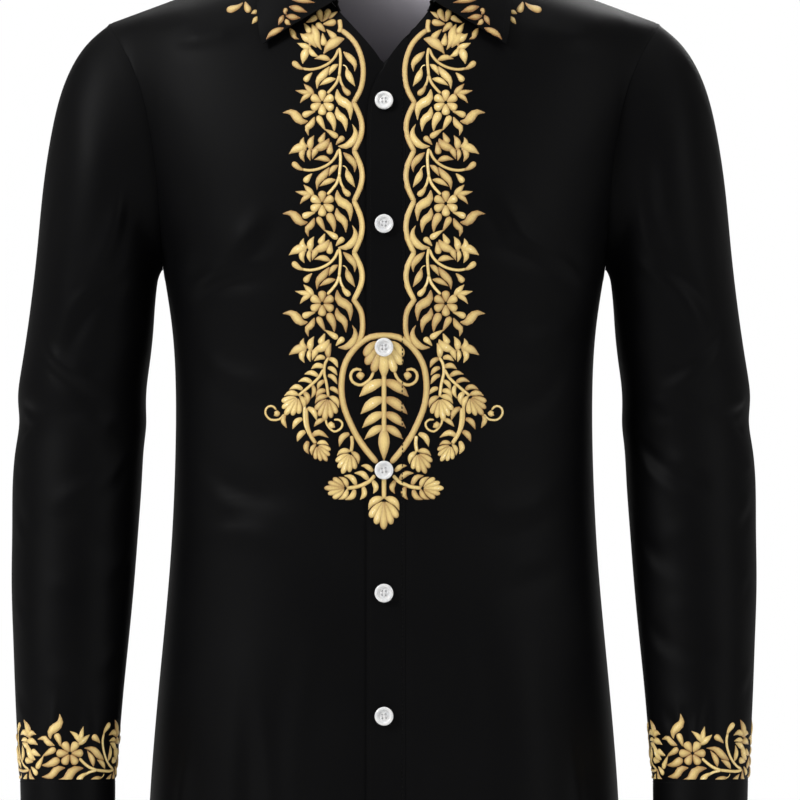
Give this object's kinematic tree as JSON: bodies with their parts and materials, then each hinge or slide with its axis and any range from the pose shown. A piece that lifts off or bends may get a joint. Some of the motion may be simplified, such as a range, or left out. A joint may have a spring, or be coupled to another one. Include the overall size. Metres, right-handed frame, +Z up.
{
  "type": "barong tagalog",
  "caption": "Black barong tagalog filled out as if worn, with an open pointed collar, full button front and raised gold leaf embroidery.",
  "frame": {"origin": "middle of the neck hole, level with the inner ends of the shoulder seams, where the wearer's shoulders hold the shirt up", "axes": "+X is the wearer's left, -Y the front, +Z up"},
  "size_m": [0.602, 0.2487, 0.8147],
  "materials": {
    "cloth": "matte",
    "thread": "satin",
    "pearl": "gloss"
  },
  "bodies": {
    "root": {"back": "cloth", "front_left": "cloth", "front_right": "cloth", "placket": "cloth", "sleeve_left": "cloth", "sleeve_right": "cloth", "cuff_left": "cloth", "cuff_right": "cloth", "collar_stand": "cloth", "collar": "cloth", "button_1": "pearl", "button_2": "pearl", "button_3": "pearl", "button_4": "pearl", "button_5": "pearl", "button_6": "pearl", "cuff_button_left": "pearl", "cuff_button_right": "pearl", "scallop_cord_left": "thread", "scallop_cord_right": "thread", "medallion_cord_left": "thread", "medallion_cord_right": "thread", "flower_left_1": "thread", "flower_left_2": "thread", "flower_left_3": "thread", "flower_right_1": "thread", "flower_right_2": "thread", "flower_right_3": "thread"}
  },
  "joints": []
}
